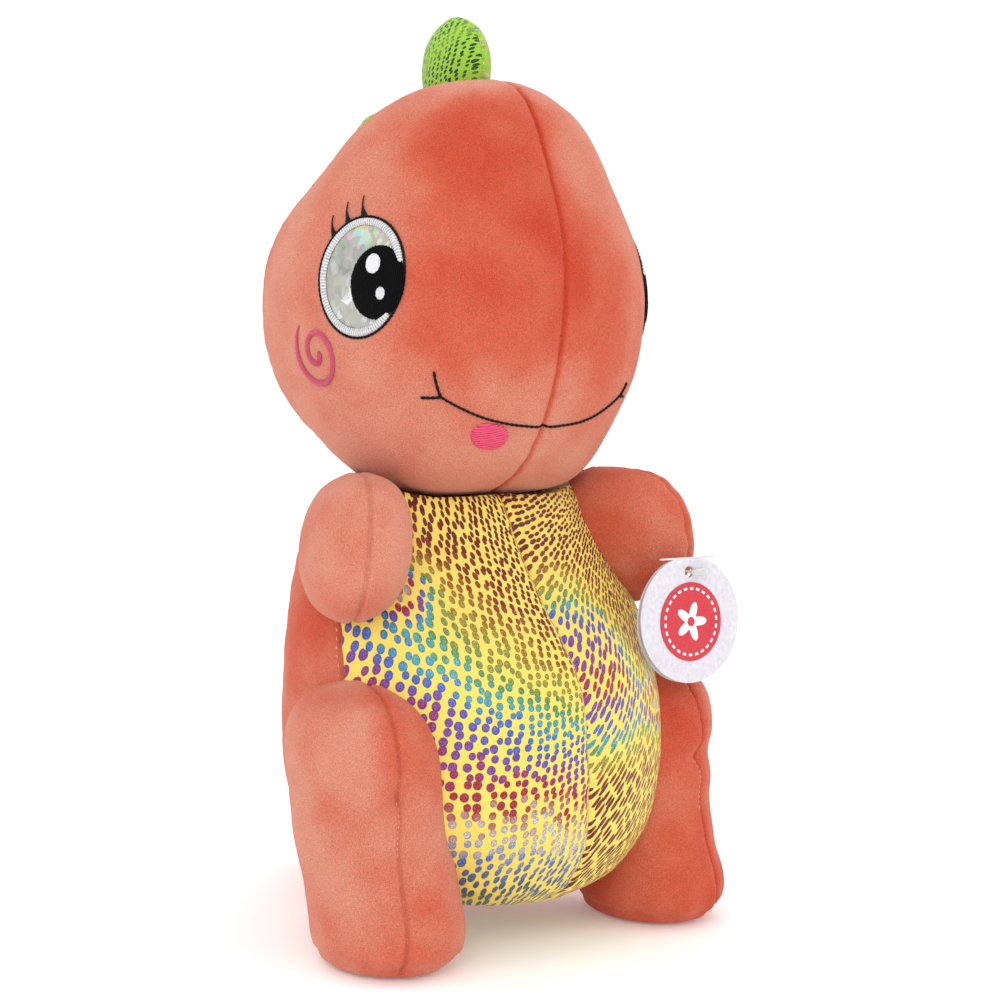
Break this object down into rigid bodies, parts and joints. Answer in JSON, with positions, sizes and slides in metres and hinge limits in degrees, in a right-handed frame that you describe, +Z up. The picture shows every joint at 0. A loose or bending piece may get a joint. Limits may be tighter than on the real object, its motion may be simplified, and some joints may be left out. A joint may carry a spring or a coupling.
{
  "type": "stuffed dinosaur",
  "caption": "Upright plush dinosaur with a big round head, embroidered face, foil-print belly, soft spikes and a resting tail, and a round hang tag on one arm.",
  "frame": {"origin": "on the floor, under the middle of the box round the whole toy", "axes": "+Z up; the toy faces -Y; +X is the toy's left side"},
  "size_m": [0.2048, 0.225, 0.4072],
  "materials": {
    "orange_velour": "matte",
    "yellow_foil_print": "satin",
    "green_foil_print": "satin",
    "fibre_fill": "matte",
    "eye_foil": "gloss",
    "white_thread": "satin",
    "black_thread": "satin",
    "pink_thread": "satin",
    "orange_thread": "satin",
    "label_satin": "satin",
    "card": "satin",
    "printed_ink": "satin",
    "clear_nylon": "gloss"
  },
  "bodies": {
    "torso": {"belly_left": "yellow_foil_print", "belly_right": "yellow_foil_print", "back_left": "orange_velour", "back_right": "orange_velour", "body_fill": "fibre_fill", "left_leg_outer": "orange_velour", "left_leg_inner": "orange_velour", "left_leg_sole": "orange_velour", "left_leg_fill": "fibre_fill", "right_leg_outer": "orange_velour", "right_leg_inner": "orange_velour", "right_leg_sole": "orange_velour", "right_leg_fill": "fibre_fill", "back_spike_upper": "green_foil_print", "back_spike_lower": "green_foil_print", "back_spike_fill": "fibre_fill", "care_label": "label_satin", "closing_stitches": "orange_thread"},
    "neck": {"neck_stitching": "orange_thread", "neck_fill": "fibre_fill"},
    "head": {"head_face_left": "orange_velour", "head_face_right": "orange_velour", "head_back_left": "orange_velour", "head_back_right": "orange_velour", "head_fill": "fibre_fill", "eye_foil_left": "eye_foil", "eye_ring_left": "white_thread", "eye_outline_left": "black_thread", "eye_pupil_left": "black_thread", "eye_glints_left": "white_thread", "eyelashes_left": "black_thread", "eye_foil_right": "eye_foil", "eye_ring_right": "white_thread", "eye_outline_right": "black_thread", "eye_pupil_right": "black_thread", "eye_glints_right": "white_thread", "eyelashes_right": "black_thread", "cheek_swirl_left": "pink_thread", "cheek_swirl_right": "pink_thread", "mouth_stitching": "black_thread", "tongue": "pink_thread", "head_spike_front": "green_foil_print", "head_spike_middle": "green_foil_print", "head_spike_rear": "green_foil_print", "head_spike_fill": "fibre_fill"},
    "left_arm": {"left_arm_outer": "orange_velour", "left_arm_inner": "orange_velour", "left_arm_fill": "fibre_fill", "tag_fastener": "clear_nylon"},
    "right_arm": {"right_arm_outer": "orange_velour", "right_arm_inner": "orange_velour", "right_arm_fill": "fibre_fill"},
    "tail": {"tail_left": "orange_velour", "tail_right": "orange_velour", "tail_fill": "fibre_fill", "tail_spike": "green_foil_print", "tail_spike_fill": "fibre_fill"},
    "tag": {"tag_card": "card", "tag_print": "printed_ink"}
  },
  "joints": [
    {"name": "neck_nod", "type": "hinge", "parent": "torso", "child": "neck", "pos_m": [0, -0.0115, 0.188], "axis": [1, 0, 0], "range_deg": [-4, 4], "stiffness_Nm_per_rad": 1.2},
    {"name": "head_turn", "type": "hinge", "parent": "neck", "child": "head", "pos_m": [0, -0.0115, 0.188], "axis": [0, 0, 1], "range_deg": [-12, 12], "stiffness_Nm_per_rad": 0.6},
    {"name": "left_arm_swing", "type": "hinge", "parent": "torso", "child": "left_arm", "pos_m": [0.06, -0.0235, 0.173], "axis": [1, 0, 0], "range_deg": [-20, 3], "stiffness_Nm_per_rad": 0.3},
    {"name": "right_arm_swing", "type": "hinge", "parent": "torso", "child": "right_arm", "pos_m": [-0.06, -0.0235, 0.173], "axis": [1, 0, 0], "range_deg": [-20, 3], "stiffness_Nm_per_rad": 0.3},
    {"name": "tail_wag", "type": "hinge", "parent": "torso", "child": "tail", "pos_m": [0, 0.0245, 0.05], "axis": [0, 0, 1], "range_deg": [-14, 14], "stiffness_Nm_per_rad": 0.8},
    {"name": "tag_swing", "type": "hinge", "parent": "left_arm", "child": "tag", "pos_m": [0.0695, -0.0915, 0.157], "axis": [-1, 0, 0], "range_deg": [0, 40]}
  ]
}
